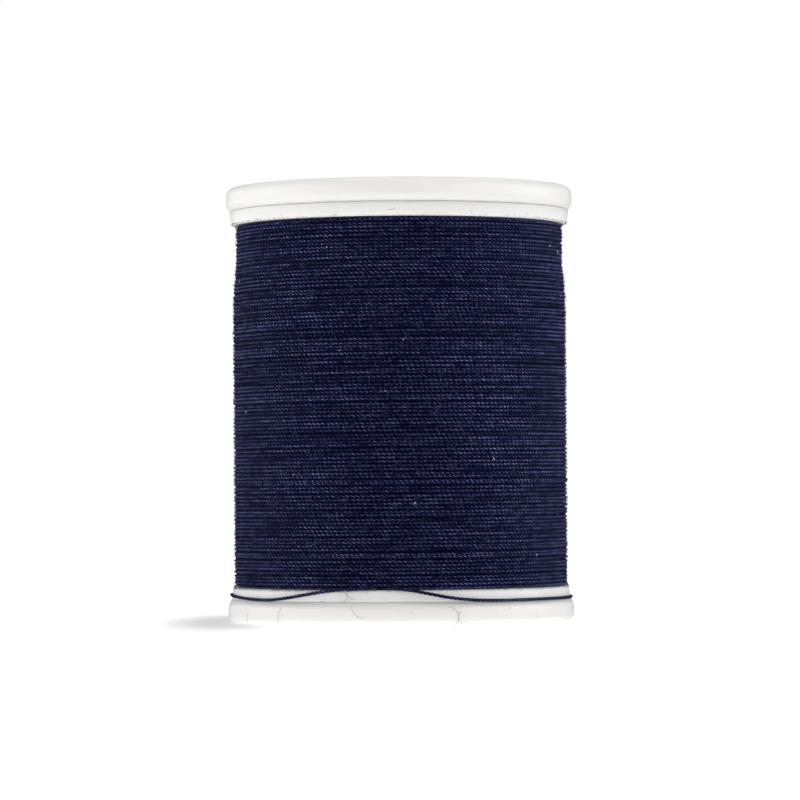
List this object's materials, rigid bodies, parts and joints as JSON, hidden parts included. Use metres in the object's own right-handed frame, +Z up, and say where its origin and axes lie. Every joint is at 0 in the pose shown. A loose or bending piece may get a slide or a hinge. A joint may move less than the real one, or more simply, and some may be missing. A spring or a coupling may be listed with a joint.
{
  "type": "spool of thread",
  "caption": "Full spool of twisted sewing thread on a snap-together plastic spool with a flanged cap at each end and a spindle bore.",
  "frame": {"origin": "middle of the foot, where the spool's axis meets the surface it stands on", "axes": "+Z up along the spindle bore, towards the top cap; -Y to the front, where the slack turn of thread leaves the pack"},
  "size_m": [0.036, 0.036, 0.0451],
  "materials": {
    "spool_plastic": "satin moulded polystyrene",
    "label_paper": "smooth paper with a plain printed ring",
    "thread": "three-ply twisted thread, slightly hairy"
  },
  "bodies": {
    "spool": {"barrel": "spool_plastic", "thread_winding": "thread", "loose_turn": "thread"},
    "base_cap": {"base_cap": "spool_plastic", "base_label": "label_paper"},
    "top_cap": {"top_cap": "spool_plastic", "top_label": "label_paper"}
  },
  "joints": [
    {"name": "base_cap_slide", "type": "slide", "parent": "spool", "child": "base_cap", "axis": [0, 0, -1], "range_m": [0, 0.0012]},
    {"name": "top_cap_slide", "type": "slide", "parent": "spool", "child": "top_cap", "axis": [0, 0, 1], "range_m": [0, 0.0012]}
  ]
}
